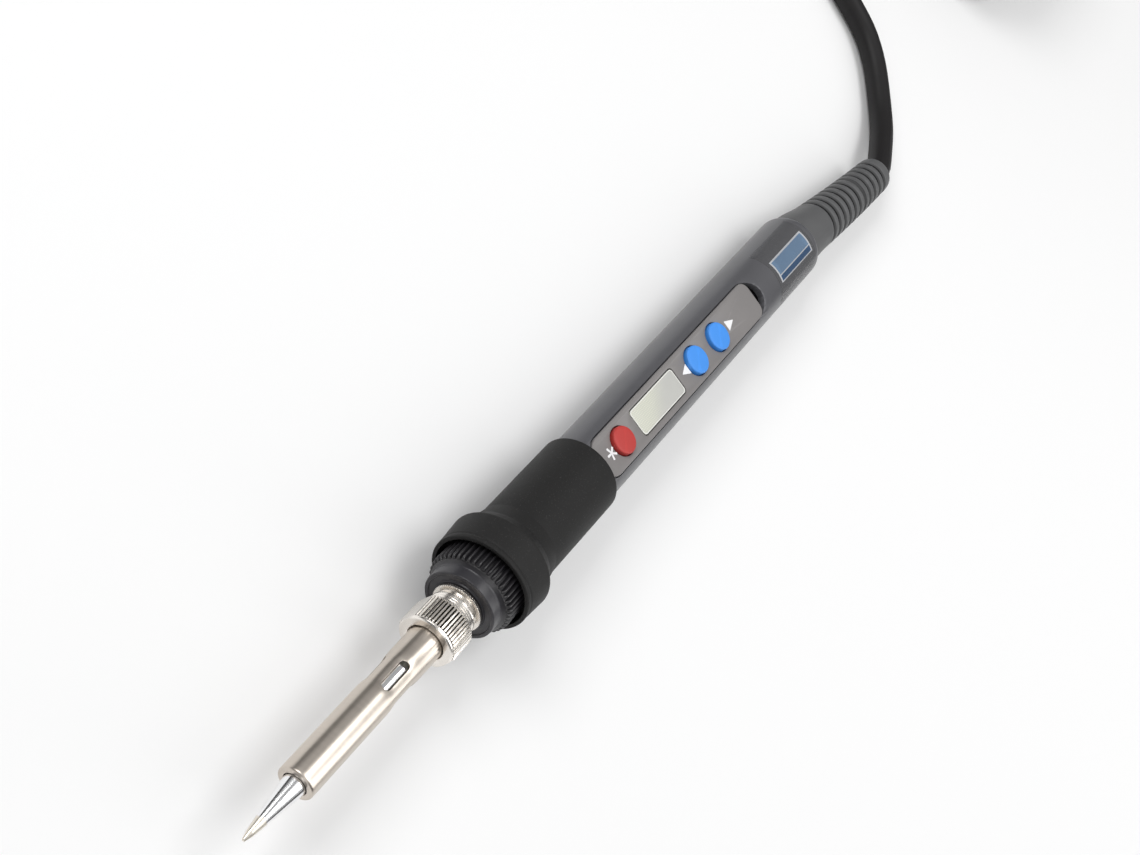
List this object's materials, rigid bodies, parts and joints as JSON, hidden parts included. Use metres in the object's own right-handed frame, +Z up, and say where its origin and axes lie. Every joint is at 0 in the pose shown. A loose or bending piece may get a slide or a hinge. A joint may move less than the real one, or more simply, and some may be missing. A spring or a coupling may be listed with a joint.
{
  "type": "soldering iron",
  "caption": "Hand-held soldering iron with a conical tip in a vented barrel, a knurled nut, a rubber grip, a button panel with a small display, and a coiled mains cord with a plug.",
  "frame": {"origin": "on the bench under the middle of the iron's own length and width, its cord, coil and plug left out", "axes": "+X towards the tip, +Z up with the control panel facing up; the iron rests on its grip flange and its housing's rear edge, so its axis rises 1.5 degrees towards the tip"},
  "size_m": [0.486, 0.0859, 0.043],
  "materials": {
    "tip_steel": "polished, tinned at its end",
    "barrel_steel": "satin brushed stainless steel",
    "nickel": "bright nickel plate",
    "ceramic": "off-white ceramic",
    "collar_plastic": "charcoal heat-resistant plastic",
    "sleeve_rubber": "matt black, finely textured",
    "housing_plastic": "satin dark grey",
    "panel_plastic": "light warm grey, matt",
    "window_plastic": "pale grey display",
    "red_button": "soft red",
    "blue_button": "soft sky blue",
    "board": "green solder mask",
    "switch_plastic": "black",
    "display_metal": "plain",
    "chip_plastic": "black moulded",
    "capacitor_sleeve": "dark blue sleeve",
    "screw_steel": "plain",
    "lead_sleeve": "off-white sleeve",
    "live_wire": "brown insulation",
    "neutral_wire": "blue insulation",
    "earth_wire": "green insulation",
    "boot_rubber": "dark grey, matt",
    "cord_rubber": "black, satin",
    "tie_plastic": "black",
    "plug_plastic": "black moulded",
    "plug_brass": "bright"
  },
  "bodies": {
    "handle": {"threaded_ferrule": "nickel", "heater_rod": "ceramic", "heater_base": "ceramic", "front_collar": "collar_plastic", "grip_sleeve": "sleeve_rubber", "handle_housing": "housing_plastic", "control_panel": "panel_plastic", "display_window": "window_plastic", "power_switch": "switch_plastic", "down_switch": "switch_plastic", "up_switch": "switch_plastic", "circuit_board": "board", "display_module": "display_metal", "triac": "chip_plastic", "microcontroller": "chip_plastic", "filter_capacitor": "capacitor_sleeve", "collar_screw_left": "screw_steel", "collar_screw_right": "screw_steel", "heater_lead_1": "lead_sleeve", "heater_lead_2": "lead_sleeve", "heater_lead_3": "lead_sleeve", "heater_lead_4": "lead_sleeve", "live_wire": "live_wire", "neutral_wire": "neutral_wire", "earth_wire": "earth_wire", "cord_boot": "boot_rubber", "cord_inner": "cord_rubber", "cord_stop": "tie_plastic", "power_cord": "cord_rubber", "cord_hank": "cord_rubber", "cord_tail": "cord_rubber", "cord_tie": "tie_plastic", "plug_body": "plug_plastic", "plug_live_blade": "plug_brass", "plug_neutral_blade": "plug_brass", "plug_earth_pin": "plug_brass"},
    "power_button": {"power_button": "red_button", "power_plunger": "switch_plastic"},
    "down_button": {"down_button": "blue_button", "down_plunger": "switch_plastic"},
    "up_button": {"up_button": "blue_button", "up_plunger": "switch_plastic"},
    "barrel": {"tip_barrel": "barrel_steel", "soldering_tip": "tip_steel"},
    "nut": {"barrel_nut": "nickel"}
  },
  "joints": [
    {"name": "power_press", "type": "slide", "parent": "handle", "child": "power_button", "axis": [0.0256, 0, -0.9997], "range_m": [0, 0.0005], "stiffness_N_per_m": 300},
    {"name": "down_press", "type": "slide", "parent": "handle", "child": "down_button", "axis": [0.0256, 0, -0.9997], "range_m": [0, 0.0005], "stiffness_N_per_m": 300},
    {"name": "up_press", "type": "slide", "parent": "handle", "child": "up_button", "axis": [0.0256, 0, -0.9997], "range_m": [0, 0.0005], "stiffness_N_per_m": 300},
    {"name": "barrel_advance", "type": "slide", "parent": "handle", "child": "barrel", "axis": [0.9997, 0, 0.0256], "range_m": [0, 0.005]},
    {"name": "nut_turn", "type": "hinge", "parent": "barrel", "child": "nut", "pos_m": [0.07892, 0, 0.01358], "axis": [0.9997, 0, 0.0256], "range_deg": [0, 1800]}
  ],
  "couplings": [
    {"joint": "nut_turn", "follows": "barrel_advance", "rad_per_m": 6283.2}
  ]
}
